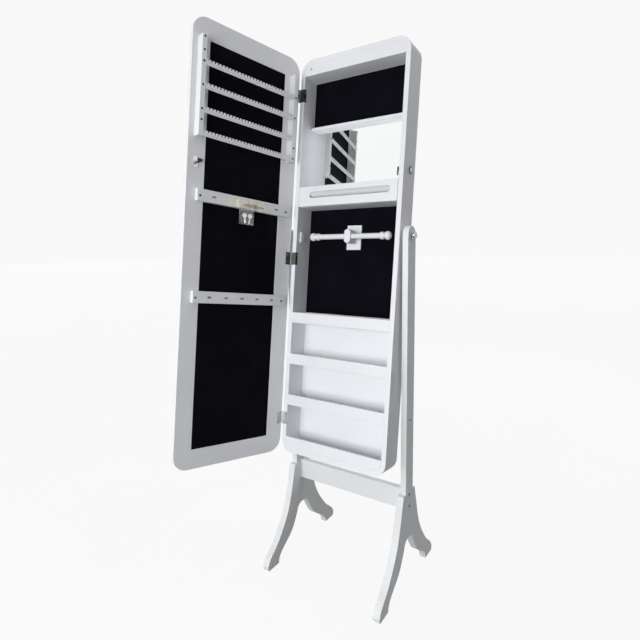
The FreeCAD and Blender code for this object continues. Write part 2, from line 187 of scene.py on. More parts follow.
def painted(name, colour, rough=0.42, painted_shade=None):
    """Sprayed satin paint on board: faint mottling, fine orange peel, a little handling wear.

    The last argument, (colour, low, high), is painted shade fading out between body-frame heights.
    """
    n = Nodes(name)
    n.set(Specular_IOR_Level=0.35, Coat_Weight=0.05, Coat_Roughness=0.3)
    patches = n.ramp(n.noise(7.0, 4.0),
                     [(0.3, shade(colour, 0.955)), (0.55, colour), (0.75, shade(colour, 1.025))])
    scuffs = n.ramp(n.noise(38.0, 6.0, stretch=(1.0, 1.0, 0.25), distortion=0.6),
                    [(0.0, colour), (0.66, colour), (0.8, shade(colour, 0.9))])
    coat = n.mix(n.spread(n.noise(3.1, 2.0), 0.0, 0.55), patches, scuffs)
    # painted shade: a darker, mottled coat, darkest at the low height, standing for shade in a
    # recess
    if painted_shade:
        shade_colour, low, high = painted_shade
        up = CAB.to_3x3() @ Vector((0, 0, 1))
        height = n.add("ShaderNodeVectorMath")
        height.operation = "DOT_PRODUCT"
        height.inputs[1].default_value = up
        n.link(n.where, height.inputs[0])
        fade = n.add("ShaderNodeMapRange", From_Min=low + up.dot(CAB.translation),
                     From_Max=high + up.dot(CAB.translation))
        n.link(height.outputs["Value"], fade.inputs["Value"])
        shade_mottle = n.ramp(n.noise(60.0, 4.0), [(0.3, shade(shade_colour, 0.85)), (0.7, shade(shade_colour, 1.15))])
        coat = n.mix(fade.outputs["Result"], shade_mottle, coat)
    n.colour(coat)
    n.roughness(n.spread(n.noise(55.0, 3.0), rough - 0.05, rough + 0.08))
    n.bump((n.noise(26.0, 2.0), 0.10, 0.0006), (n.noise(620.0, 2.0), 0.12, 0.0002))
    return n.material


def velvet_cloth(name, colour):
    """Short black pile with brushed patches."""
    n = Nodes(name)
    n.set(Roughness=0.95, Specular_IOR_Level=0.04, Sheen_Weight=0.03, Sheen_Roughness=0.35,
          Sheen_Tint=(0.55, 0.58, 0.72, 1.0))
    brushed = n.ramp(n.noise(9.0, 4.0, distortion=1.2),
                     [(0.3, shade(colour, 0.6)), (0.55, colour), (0.8, shade(colour, 1.7))])
    fibre = n.ramp(n.noise(1500.0, 2.0), [(0.35, shade(colour, 0.45)), (0.7, shade(colour, 2.0))])
    n.colour(n.mix(n.spread(n.noise(230.0, 2.0), 0.2, 0.8), brushed, fibre))
    n.bump((n.noise(42.0, 3.0), 0.25, 0.0008), (n.noise(1100.0, 2.0), 0.6, 0.0004))
    return n.material


def metal(name, colour, rough, grain=0.12):
    """Plated metal with fine drawn grain and slightly uneven plating."""
    streak = (1.0, 1.0, 0.06)
    n = Nodes(name)
    n.set(Metallic=1.0)
    n.colour(n.ramp(n.noise(160.0, 4.0), [(0.3, shade(colour, 0.8)), (0.7, shade(colour, 1.1))]))
    n.roughness(n.spread(n.noise(420.0, 3.0, stretch=streak), rough * 0.7, rough * 1.35))
    n.bump((n.noise(900.0, 2.0, stretch=streak), grain, 0.0002))
    return n.material


def silvered(name):
    """Front of a mirror: bright silver with the faintest haze and waviness."""
    n = Nodes(name)
    n.set(Metallic=1.0)
    n.colour(n.ramp(n.noise(5.0, 2.0), [(0.3, (0.975, 0.99, 0.99)), (0.7, (0.99, 1.0, 1.0))]))
    n.roughness(n.spread(n.noise(30.0, 4.0), 0.004, 0.018))
    n.bump((n.noise(2.5, 1.0), 0.02, 0.001))
    return n.material


def glass_edge(name):
    """Ground edge of mirror glass, dark green."""
    n = Nodes(name)
    n.set(Specular_IOR_Level=0.6)
    n.colour(n.ramp(n.noise(220.0, 3.0), [(0.3, (0.10, 0.20, 0.18)), (0.7, (0.22, 0.36, 0.33))]))
    n.roughness(n.spread(n.noise(500.0, 2.0), 0.12, 0.3))
    return n.material


def moulded(name, colour, rough):
    """Moulded plastic or rubber with a fine spark texture."""
    n = Nodes(name)
    n.set(Specular_IOR_Level=0.4)
    n.colour(n.ramp(n.noise(90.0, 3.0), [(0.3, shade(colour, 0.92)), (0.7, shade(colour, 1.05))]))
    n.roughness(n.spread(n.noise(700.0, 2.0), rough - 0.05, rough + 0.08))
    n.bump((n.noise(1600.0, 2.0), 0.15, 0.0001))
    return n.material


def clear_film(name):
    """Thin crinkled clear bag, mostly see-through; creases whitened, partly as painted highlight.
    """
    n = Nodes(name)
    n.set(Roughness=0.12, Specular_IOR_Level=0.9, IOR=1.5)
    crease = n.noise(240.0, 5.0, stretch=(1.0, 1.0, 0.3), distortion=1.5)
    # whitish creases: the folds' own whitening together with painted highlight
    n.colour(n.ramp(crease, [(0.35, (0.55, 0.58, 0.6)), (0.7, (0.95, 0.96, 0.97))]))
    n.link(n.spread(crease, 0.0, 0.32), n.shader.inputs["Alpha"])
    n.bump((crease, 0.5, 0.0006))
    return n.material


def sticky_tape(name, pale, stained):
    """Crepe tape: fine cross wrinkles and yellowed patches."""
    n = Nodes(name)
    n.set(Specular_IOR_Level=0.35)
    stain = n.noise(70.0, 4.0, stretch=(1.0, 1.0, 2.2), distortion=0.8)
    n.colour(n.ramp(stain, [(0.38, pale), (0.55, stained), (0.72, shade(stained, 0.75))]))
    n.roughness(n.spread(n.noise(300.0, 3.0), 0.45, 0.7))
    n.bump((n.noise(420.0, 4.0, distortion=1.0), 0.5, 0.0003))
    return n.material


WHITE = (0.79, 0.803, 0.835)
PAINT = painted("satin_white_paint", WHITE)
DOOR_PAINT = painted("satin_white_door_paint", (0.78, 0.79, 0.815))
STAND_PAINT = painted("satin_white_stand_paint", (0.76, 0.777, 0.79))
# painted shade inside the necklace bars' slots
SLOT_SHADE = painted("slot_painted_shade", (0.38, 0.385, 0.40))
BACK_BOARD = painted("white_back_board", (0.81, 0.815, 0.845), rough=0.5)
VELVET = velvet_cloth("black_velvet", (0.0034, 0.0034, 0.0060))
SILVER = silvered("mirror_silver")
EDGE = glass_edge("mirror_glass_edge")
DARK_STEEL = metal("dark_plated_steel", (0.13, 0.14, 0.125), 0.32)
# also used as a painted highlight on the lowest hinge pair
STEEL_AND_HIGHLIGHT = metal("zinc_plated_steel_and_painted_highlight", (0.55, 0.55, 0.56), 0.28)
# also used as painted shade on the hinge faces inside the cabinet
BLACK_STEEL_AND_SHADE = metal("black_oxide_steel_and_painted_shade", (0.03, 0.03, 0.032), 0.4)
CHROME = metal("polished_chrome", (0.42, 0.43, 0.44), 0.09, grain=0.02)
KEY_METAL = metal("nickel_key_metal", (0.83, 0.82, 0.78), 0.2)
NUT_WHITE = moulded("white_moulded_nylon", (0.78, 0.78, 0.79), 0.45)
RUBBER = moulded("grey_soft_rubber", (0.30, 0.31, 0.32), 0.6)
FILM = clear_film("clear_key_film")
TAPE = sticky_tape("masking_tape", (0.60, 0.56, 0.42), (0.44, 0.38, 0.24))
PAPER = sticky_tape("cream_paper_tape", (0.86, 0.85, 0.80), (0.82, 0.79, 0.66))


# ---------------------------------------------------------------- mesh helpers
def add_object(name, data):
    """New object in the scene."""
    thing = bpy.data.objects.new(name, data)
    bpy.context.scene.collection.objects.link(thing)
    return thing


def place_piece(name, mesh, material, body, nodes=(), smooth=True):
    """Make the object, ride it on its body and let it stand for its CAD nodes."""
    for polygon in mesh.polygons:
        polygon.use_smooth = smooth
    for each in material if isinstance(material, (list, tuple)) else [material]:
        mesh.materials.append(each)
    piece = add_object(name, mesh)
    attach(piece, body)
    if nodes:
        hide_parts(*nodes)
    return piece


def mesh_of(bm, name, place=None):
    """Mesh from a bmesh, moved from a place's own frame into the row frame."""
    if place:
        bm.transform(place)
    bmesh.ops.recalc_face_normals(bm, faces=bm.faces)
    mesh = bpy.data.meshes.new(name)
    bm.to_mesh(mesh)
    bm.free()
    return mesh


def bevelled(piece, width, segments=3, angle=32.0):
    """Small rounding on every sharp edge, as paint and sanding leave it."""
    rounding = piece.modifiers.new("edges", "BEVEL")
    rounding.width = width
    rounding.segments = segments
    rounding.limit_method = "ANGLE"
    rounding.angle_limit = math.radians(angle)
    rounding.use_clamp_overlap = False
    rounding.harden_normals = True
    rounding.miter_outer = "MITER_ARC"
    return piece


def merge_flat(bm):
    """One face for each flat area."""
    bmesh.ops.dissolve_limit(bm, angle_limit=FLAT, verts=bm.verts, edges=bm.edges)


def finished(nodes, material, edge, segments=3, angle=32.0):
    """Copy of CAD nodes' shape, joined where they touch, flat areas merged and edges rounded."""
    nodes = (nodes,) if isinstance(nodes, str) else nodes
    bm = bmesh.new()
    for node in nodes:
        source = NODES[node].data
        points = [bm.verts.new(v.co) for v in source.vertices]
        for polygon in source.polygons:
            bm.faces.new([points[i] for i in polygon.vertices])
    bmesh.ops.remove_doubles(bm, verts=bm.verts, dist=WELD)
    merge_flat(bm)
    # a face between two joined solids has more than two faces at each of its edges
    inside = [f for f in bm.faces if all(len(e.link_faces) > 2 for e in f.edges)]
    bmesh.ops.delete(bm, geom=inside, context="FACES")
    merge_flat(bm)
    piece = place_piece(nodes[0] + "_finish", mesh_of(bm, nodes[0]), material,
                        NODES[nodes[0]]["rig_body"], nodes)
    return bevelled(piece, edge, segments, angle) if edge else piece


def two_tone(piece, material, place, chosen):
    """Another finish on the faces whose centre and normal, in the place's frame, are chosen."""
    piece.data.materials.append(material)
    back = place.inverted()
    for polygon in piece.data.polygons:
        if chosen(back @ polygon.center, back.to_3x3() @ polygon.normal):
            polygon.material_index = len(piece.data.materials) - 1


def grid_faces(bm, rows):
    """Faces between neighbouring rows of vertices."""
    for lower, upper in zip(rows[:-1], rows[1:]):
        for a, b, c, d in zip(lower[:-1], lower[1:], upper[1:], upper[:-1]):
            bm.faces.new((a, b, c, d))


def steps(low, high, count):
    """Even steps from low to high, both included."""
    return [low + (high - low) * i / count for i in range(count + 1)]


def rounded_steps(low, high, count, edge):
    """Even steps with extra ones close to both ends, so that a rounded border has shape."""
    near = [edge * x for x in (0.0, 0.08, 0.25, 0.55, 1.0)]
    inner = steps(low + edge, high - edge, count)[1:-1]
    return [low + x for x in near] + inner + [high - x for x in reversed(near)]


def border_roll(distance, edge):
    """How far a rounded border falls back, 0 to 1, at a distance from the outline."""
    return 1.0 - math.sqrt(max(0.0, 1.0 - (1.0 - min(distance / edge, 1.0)) ** 2))


def close_behind(bm, rows, back_v):
    """Walls from the border of a grid to a flat back."""
    border = (rows[0] + [r[-1] for r in rows[1:]] + rows[-1][-2::-1]
              + [r[0] for r in rows[-2:0:-1]])
    back = [bm.verts.new((v.co.x, back_v, v.co.z)) for v in border]
    for i in range(len(border)):
        j = (i + 1) % len(border)
        bm.faces.new((border[i], border[j], back[j], back[i]))
    bm.faces.new(back)


def extruded(bm, faces):
    """New vertices of a copy of some faces, joined to the old ones by walls."""
    made = bmesh.ops.extrude_face_region(bm, geom=faces)["geom"]
    return [item for item in made if isinstance(item, bmesh.types.BMVert)]


def around(count):
    """Even angles once round a circle."""
    return [2 * math.pi * i / count for i in range(count)]


def lathe(bm, profile, start, axis, segments=48):
    """Turned shape: (distance along axis, radius) pairs round a line."""
    axis = Vector(axis).normalized()
    side = axis.orthogonal().normalized()
    other = axis.cross(side)
    rings = []
    for along, radius in profile:
        centre = Vector(start) + axis * along
        if radius < 1e-6:
            rings.append([bm.verts.new(centre)])
            continue
        rings.append([bm.verts.new(centre + (side * math.cos(t) + other * math.sin(t)) * radius)
                      for t in around(segments)])
    for a, b in zip(rings[:-1], rings[1:]):
        for i in range(segments):
            j = (i + 1) % segments
            quad = [a[i % len(a)], a[j % len(a)], b[j % len(b)], b[i % len(b)]]
            distinct = list(dict.fromkeys(quad))        # three where a ring is a point
            if len(distinct) > 2:
                bm.faces.new(distinct)
    for ring, flip in ((rings[0], True), (rings[-1], False)):
        if len(ring) > 2:
            bm.faces.new(ring[::-1] if flip else ring)


def smooth_profile(points, per_span=5):
    """Catmull-Rom curve through (along, radius) pairs."""
    out = []
    for i in range(len(points) - 1):
        p = [points[max(i - 1, 0)], points[i], points[i + 1], points[min(i + 2, len(points) - 1)]]
        for k in range(per_span):
            t = k / per_span
            out.append(tuple(
                0.5 * (2 * p[1][c] + (p[2][c] - p[0][c]) * t
                       + (2 * p[0][c] - 5 * p[1][c] + 4 * p[2][c] - p[3][c]) * t * t
                       + (3 * p[1][c] - p[0][c] - 3 * p[2][c] + p[3][c]) * t ** 3)
                for c in range(2)))
    return [(a, max(r, 0.0)) for a, r in out] + [points[-1]]


# ---------------------------------------------------------------- velvet
def velvet_panel(node, place, body, front, edge, wave, step, seed):
    """Cloth-covered panel and its flat size: front is -1 or +1 along v; the border rolls back.

    edge is the border's radius, wave the height of the cloth's unevenness, step the grid's.
    """
    lo, hi = span(node, place)
    face_v, back_v = (lo.y, hi.y) if front < 0 else (hi.y, lo.y)
    us = rounded_steps(lo.x, hi.x, max(4, round((hi.x - lo.x) / step)), edge)
    ws = rounded_steps(lo.z, hi.z, max(4, round((hi.z - lo.z) / step)), edge)
    bm = bmesh.new()
    rows = []
    for w in ws:
        row = []
        for u in us:
            d = min(u - lo.x, hi.x - u, w - lo.z, hi.z - w)
            roll = border_roll(d, edge)
            cloth = noise.noise(Vector((u * 21 + seed, w * 17, seed)))
            cloth += 0.5 * noise.noise(Vector((u * 60, w * 55 + seed, 2.0)))
            depth = roll * edge * 0.8 + wave * (0.6 + 0.4 * cloth) * min(d / (3 * edge), 1.0)
            depth = min(depth, abs(back_v - face_v) * 0.9)
            row.append(bm.verts.new((u, face_v - front * depth, w)))
        rows.append(row)
    grid_faces(bm, rows)
    close_behind(bm, rows, back_v)
    piece = place_piece(node + "_cloth", mesh_of(bm, node, place), VELVET, body, (node,))
    return piece, (hi.x - lo.x, hi.z - lo.z)


pad, _ = velvet_panel("top_pad", CAB, "cabinet", -1, 2.2 * MM, 0.5 * MM, 9 * MM, 1.0)
lining, size = velvet_panel("velvet_lining", CAB, "cabinet", -1, 0.9 * MM, 0.25 * MM, 9 * MM, 2.0)
door_cloth, size = velvet_panel("door_velvet", DOOR, "door", 1, 1.0 * MM, 0.3 * MM, 11 * MM, 3.0)


def drawer_cloth():
    """Lining of the drawer tray, lying flat with a slightly turned-up border."""
    lo, hi = span("drawer_lining", CAB)
    bm = bmesh.new()
    rows = []
    edge, deepest_sag = 1.2 * MM, 0.3 * MM
    for v in rounded_steps(lo.y, hi.y, 6, edge):
        row = []
        for u in rounded_steps(lo.x, hi.x, 34, edge):
            d = min(u - lo.x, hi.x - u, v - lo.y, hi.y - v)
            sag = deepest_sag * (0.5 + 0.5 * noise.noise(Vector((u * 40, v * 40, 5.0))))
            row.append(bm.verts.new((u, v, hi.z - sag * min(d / (3 * edge), 1.0))))
        rows.append(row)
    grid_faces(bm, rows)
    for vertex in extruded(bm, bm.faces[:]):
        vertex.co.z = lo.z
    piece = place_piece("drawer_lining_cloth", mesh_of(bm, "drawer_lining", CAB), VELVET,
                        "drawer", ("drawer_lining",))


drawer_cloth()


# ---------------------------------------------------------------- painted boards
finished(("left_side", "right_side", "top_board", "bottom_board"), PAINT, 0.9 * MM)
for node in ("top_rail", "rail_a", "rail_b", "rail_c", "rail_d"):
    finished(node, PAINT, 0.8 * MM)
for node in ("ceiling_board", "ledge", "drawer_cover", "drawer_floor", "pocket_floor_a",
             "pocket_floor_b", "pocket_floor_c", "bracelet_plate"):
    finished(node, PAINT, 0.5 * MM)
for node in ("back_panel", "mirror_backing"):
    finished(node, BACK_BOARD, 0.3 * MM)
for node in ("left_post", "right_post", "left_leg", "right_leg", "cross_rail"):
    finished(node, STAND_PAINT, 1.0 * MM)
finished("door_panel", DOOR_PAINT, 0.7 * MM)
for node in ("rack_rail_hinge_side", "rack_rail_free_side"):
    finished(node, DOOR_PAINT, 0.8 * MM)
for number in range(1, 5):
    finished("earring_bar_%d" % number, DOOR_PAINT, 0.18 * MM, **SMALL)
for node in ("drawer_base", "drawer_walls", "bracelet_stem"):
    finished(node, PAINT, 0.5 * MM)
finished("pivot_blocks", NUT_WHITE, 0.6 * MM)
finished("lock_lever", DARK_STEEL, 0.25 * MM, **SMALL)


def necklace_bar(node):
    """Board whose short slots are painted darker inside, as painted shade in the recesses."""
    lo, hi = span(node, DOOR)
    margin, skin = 5 * MM, 0.5 * MM

    def in_slot(centre, normal):
        return (lo.x + margin < centre.x < hi.x - margin
                and lo.y + margin < centre.y < hi.y - skin
                and lo.z + margin < centre.z < hi.z - margin)

    two_tone(finished(node, DOOR_PAINT, 0.6 * MM), SLOT_SHADE, DOOR, in_slot)


necklace_bar("necklace_bar_upper")
necklace_bar("necklace_bar_lower")
LATCH_FOOT = 0.6 * MM       # height of the latch's bright foot over the door's inner face
two_tone(finished("latch", STEEL_AND_HIGHLIGHT, 0.25 * MM, **SMALL), BLACK_STEEL_AND_SHADE, DOOR,
         lambda centre, normal: centre.y > LATCH_FOOT)


def drawer_front():
    """Front board with a scooped finger groove, shallow above and undercut below."""
    lo, hi = span("drawer_front", CAB)
    border, half, depth = 0.8 * MM, 9.5 * MM, 10.6 * MM     # of the board; of the groove
    from_left, from_right, height = 38.2 * MM, 22.2 * MM, 34.1 * MM
    left, right = lo.x + from_left + half, hi.x - from_right - half
    middle = lo.z + height
    ends = [math.sin(math.pi / 2 * x) * half for x in (0, 0.2, 0.4, 0.6, 0.75, 0.88, 0.96, 1.0)]
    gap = 2 * MM
    columns = (rounded_steps(lo.x, left - half - gap, 2, border)[:-4]
               + [left - x for x in reversed(ends)] + steps(left, right, 30)[1:-1]
               + [right + x for x in ends]
               + rounded_steps(right + half + gap, hi.x, 2, border)[4:])
    down_the_scoop = [0.0, 0.02, 0.045, 0.08, 0.13, 0.2, 0.28, 0.37,
                      0.46, 0.55, 0.64, 0.73, 0.82, 0.91, 0.96, 1.0]
    bm = bmesh.new()
    grid = []
    for u in columns:
        out = max(left - u, u - right, 0.0)
        reach = math.sqrt(max(half * half - out * out, 0.0)) if out < half else 0.0
        scale = reach / half
        reach = max(reach, 0.25 * MM)
        column = [(w, 0.0) for w in rounded_steps(lo.z, middle - reach, 2, border)[:-4]]
        for t in down_the_scoop:
            scoop = math.sin(math.pi * t ** 0.6) ** 0.8 if 0 < t < 1 else 0.0
            column.append((middle - reach + 2 * reach * t, depth * scale * scoop))
        column += [(w, 0.0) for w in rounded_steps(middle + reach, hi.z, 2, border)[4:]]
        cells = []
        for w, sink in column:
            roll = border_roll(min(u - lo.x, hi.x - u, w - lo.z, hi.z - w), border)
            cells.append(bm.verts.new((u, lo.y + sink + roll * border, w)))
        grid.append(cells)
    grid_faces(bm, grid)
    close_behind(bm, grid, hi.y)
    skin = 0.3 * MM
    for face in bm.faces:
        centre = face.calc_center_median()
        past = max(left - centre.x, centre.x - right, 0.0)
        in_groove = math.hypot(past, centre.z - middle) < half
        face.material_index = int(in_groove and lo.y + skin < centre.y < lo.y + depth)
    # painted shade: the groove's faces get a darker coat towards the groove's bottom, where the
    # lower lip shades them
    wear_and_shade = painted("groove_painted_shade", WHITE,
                   painted_shade=((0.11, 0.115, 0.125), middle - half, middle + 0.25 * half))
    mesh = mesh_of(bm, "drawer_front", CAB)
    place_piece("drawer_front_finish", mesh, (PAINT, wear_and_shade), "drawer", ("drawer_front",))
    mesh.set_sharp_from_angle(angle=math.radians(38))


drawer_front()


def bracelet_rod():
    """Turned rod with a ring, a waist and a ball at each end."""
    lo, hi = span("bracelet_rod", CAB)
    half = [(0, 8.0), (60, 8.0), (98, 8.0), (101, 8.1), (102.6, 9.2), (105.5, 10.8), (109, 11.0),
            (112.5, 10.1), (114.8, 8.4), (116.6, 8.2), (119, 9.9), (123, 12.0), (128, 12.2),
            (132, 10.7), (135.3, 7.0), (137.5, 0.0)]
    bm = bmesh.new()
    right = smooth_profile([(a * MM, r * MM) for a, r in half])
    left = [(-a, r) for a, r in reversed(right[1:])]
    lathe(bm, left + right, (lo + hi) / 2, (1, 0, 0), 56)
    place_piece("bracelet_rod_turned", mesh_of(bm, "bracelet_rod", CAB), PAINT, "cabinet",
                ("bracelet_rod",))


bracelet_rod()


# ---------------------------------------------------------------- mirrors
def mirror_slab(name, node, place, body, outward, ground):
    """Glass plate: silver face, ground border of some width, and dark green edge.

    outward is the way that the silver face looks along v, -1 or +1.
    """
    lo, hi = span(node, place)
    bm = bmesh.new()
    bm.from_mesh(NODES[node].data)
    bm.transform(place.inverted())
    bmesh.ops.remove_doubles(bm, verts=bm.verts, dist=WELD)
    merge_flat(bm)
    # a copy of the faces alone, without edges that merging may leave loose
    clean = bmesh.new()
    copies = {v: clean.verts.new(v.co) for v in bm.verts}
    for f in bm.faces:
        clean.faces.new([copies[v] for v in f.verts])
    bm.free()
    front_v = lo.y if outward < 0 else hi.y
    on_front, grinding = 1e-5, 0.9 * MM
    fronts = [f for f in clean.faces if all(abs(v.co.y - front_v) < on_front for v in f.verts)]
    if ground:
        bmesh.ops.inset_region(clean, faces=fronts, thickness=ground, depth=0)
        fronts = [f for f in fronts if f.is_valid]
        for v in {v for f in clean.faces if f not in fronts for v in f.verts}:
            if abs(v.co.y - front_v) < on_front and not any(f in fronts for f in v.link_faces):
                v.co.y -= outward * grinding
    for f in clean.faces:
        flat = all(abs(v.co.y - front_v) < 1.0 * MM for v in f.verts)
        f.material_index = 0 if flat else 1
    place_piece(name, mesh_of(clean, node, place), (SILVER, EDGE), body, (node,), smooth=False)


mirror_slab("inner_mirror_glass", "inner_mirror", CAB, "cabinet", -1, 0.0)
mirror_slab("door_mirror_glass", "door_mirror", DOOR, "door", -1, 12.0 * MM)


# ---------------------------------------------------------------- metal fittings
def pan_head(bm, centre, axis, radius, height):
    """Low domed screw head with a round recess for the driver."""
    lathe(bm, [(-0.25 * height, radius), (0.0, radius), (0.45 * height, 0.93 * radius),
               (0.8 * height, 0.72 * radius), (height, 0.42 * radius),
               (0.55 * height, 0.3 * radius)], centre, axis, 24)


def door_screws():
    """Screw heads on the rack rails and the necklace bars."""
    bm = bmesh.new()
    source = bmesh.new()
    source.from_mesh(NODES["door_screws"].data)
    source.transform(DOOR.inverted())
    bmesh.ops.remove_doubles(source, verts=source.verts, dist=WELD)
    left = set(source.verts)
    while left:
        group, todo = [], [left.pop()]
        while todo:
            v = todo.pop()
            group.append(v.co.copy())
            for e in v.link_edges:
                other = e.other_vert(v)
                if other in left:
                    left.discard(other)
                    todo.append(other)
        low, high = corners(group)
        centre = Vector(((low.x + high.x) / 2, low.y, (low.z + high.z) / 2))
        pan_head(bm, centre, (0, 1, 0), (high.x - low.x) / 2, high.y - low.y)
    source.free()
    place_piece("door_screws_heads", mesh_of(bm, "door_screws", DOOR), BLACK_STEEL_AND_SHADE, "door",
                ("door_screws",))


door_screws()


def hinge_leaves(node, place, shade_inside):
    """Dark plated leaves; painted highlight: the lowest pair bright; painted shade: faces inside
    the cabinet black.
    """
    lowest_pair_top, wall_face = 0.3, 12 * MM       # height, and depth into the side board
    piece = finished(node, DARK_STEEL, 0.15 * MM, **SMALL)
    # painted shade: the leaf faces on the side board's inner face are made black
    if shade_inside:
        two_tone(piece, BLACK_STEEL_AND_SHADE, place,
                 lambda centre, normal: normal.x > 0.9 and centre.x > wall_face)
    # painted highlight: the lowest pair is made bright steel, brighter than the pairs above it
    two_tone(piece, STEEL_AND_HIGHLIGHT, place, lambda centre, normal: centre.z < lowest_pair_top)


hinge_leaves("hinge_leaves_cabinet", CAB, True)
hinge_leaves("hinge_leaves_door", DOOR, False)
finished("hinge_pins", STEEL_AND_HIGHLIGHT, 0.2 * MM, **SMALL)
finished("lock_body", DARK_STEEL, 0.5 * MM, angle=50.0)
finished("lock_plug", STEEL_AND_HIGHLIGHT, 0.2 * MM, **SMALL)


def hinge_screws():
    """Two small countersunk screws in each hinge leaf."""
    _, leaf = span("hinge_leaves_cabinet", CAB)
    _, door_leaf = span("hinge_leaves_door", DOOR)
    door_leaf_face = -1.2 * MM
    from_edge, door_from_edge, off_centre = 4.5 * MM, 6 * MM, 11 * MM
    pins_lo, pins_hi = span("hinge_pins", CAB)
    length, radius = 38 * MM, 2.0 * MM
    centres = (pins_lo.z + length / 2, (pins_lo.z + pins_hi.z) / 2, pins_hi.z - length / 2)
    inner, outer = bmesh.new(), bmesh.new()
    for w in centres:
        for z in (w - off_centre, w + off_centre):
            pan_head(inner, (leaf.x, leaf.y - from_edge, z), (1, 0, 0), radius, 0.5 * MM)
            pan_head(outer, (door_leaf.x - door_from_edge, door_leaf_face, z), (0, 1, 0), radius,
                     0.25 * MM)
    for bm, body, place in ((inner, "cabinet", CAB), (outer, "door", DOOR)):
        name = "hinge_screws_" + body
        place_piece(name, mesh_of(bm, name, place), STEEL_AND_HIGHLIGHT, body)


hinge_screws()


def socket_screw(bm, face, side, y, z, radius):
    """Flush cap screw with a six-sided socket, its axis along x."""
    sink, socket_floor, rim = 3.0 * MM, 0.8 * MM, 2.7 * MM
    count, sixth = 24, math.pi / 3
    rings = []
    for along, r, sided in ((0.0, radius, False), (2.4 * MM, radius, False),
                            (rim, radius * 0.9, False), (rim, radius * 0.52, True),
                            (socket_floor, radius * 0.5, True)):
        centre = Vector((face + side * (along - sink), y, z))
        ring = []
        for t in around(count):
            hexagon = math.cos(sixth / 2) / math.cos(t % sixth - sixth / 2) if sided else 1.0
            offset = Vector((0, math.cos(t), math.sin(t))) * r * hexagon
            ring.append(bm.verts.new(centre + offset))
        rings.append(ring)
    for a, b in zip(rings[:-1], rings[1:]):
        for i in range(count):
            j = (i + 1) % count
            bm.faces.new((a[i], a[j], b[j], b[i]))
    bm.faces.new(rings[0][::-1])
    bm.faces.new(rings[-1])


def post_face(side):
    """Outer face of the left (-1) or right (+1) post, along x in the stand's frame."""
    return span("right_post", STAND)[1].x if side > 0 else span("left_post", STAND)[0].x


def stand_screws():
    """Cap screws of the legs and a small dark plug on each post."""
    lo, hi = span("stand_screws", STAND)
    radius, spacing, plug = 5.0 * MM, 36 * MM, 2.6 * MM
    screw_y, plug_y = 1.5 * MM, -2 * MM
    bm = bmesh.new()
    for side in (-1, 1):
        face = post_face(side)
        for z in (lo.z + radius, lo.z + radius + spacing):
            socket_screw(bm, face, side, screw_y, z, radius)
        dome = smooth_profile([(-1.5 * MM, plug), (0.0, plug), (0.9 * MM, 2.2 * MM),
                               (1.5 * MM, 0.0)])
        lathe(bm, dome, (face, plug_y, hi.z - plug), (side, 0, 0), 24)
    place_piece("stand_screws_heads", mesh_of(bm, "stand_screws", STAND), BLACK_STEEL_AND_SHADE, "stand",
                ("stand_screws",))


stand_screws()


def knob(node, side):
    """Clamp knob: collar, waist and a fluted domed head, with its stud."""
    axis_z = JOINTS["tilt"]["pos_m"][2]
    face = post_face(side)
    stud = 23.5     # this and the profile are in millimetres
    profile = [(-stud, 0.0), (-stud, 3.6), (-stud + 0.4, 3.9), (0.0, 3.9), (0.0, 9.6), (0.3, 10.0),
               (1.1, 10.0), (1.5, 9.4), (1.6, 5.8), (2.2, 5.4), (3.9, 5.4), (4.4, 5.9), (4.6, 8.2),
               (5.2, 9.5), (6.4, 10.0), (9.3, 10.0), (10.8, 9.3), (11.8, 7.7), (12.3, 5.1),
               (12.5, 2.4), (12.5, 0.0)]
    bm = bmesh.new()
    lathe(bm, [(a * MM, r * MM) for a, r in profile], (face, 0, axis_z), (side, 0, 0), 72)
    flutes, flute_depth = 18, 0.045
    head_starts, inner_radius = 5 * MM, 8.5 * MM
    for v in bm.verts:
        out = (v.co.x - face) * side
        radius = math.hypot(v.co.y, v.co.z - axis_z)
        if out > head_starts and radius > inner_radius:
            angle = math.atan2(v.co.z - axis_z, v.co.y)
            pull = 1 - flute_depth * (0.5 + 0.5 * math.cos(flutes * angle))
            v.co.y *= pull
            v.co.z = axis_z + (v.co.z - axis_z) * pull
    mesh = mesh_of(bm, node, STAND)
    place_piece(node + "_turned", mesh, CHROME, node, (node,))
    mesh.set_sharp_from_angle(angle=math.radians(50))


knob("left_knob", -1)
knob("right_knob", 1)
finished("door_bumper", RUBBER, 0.0)


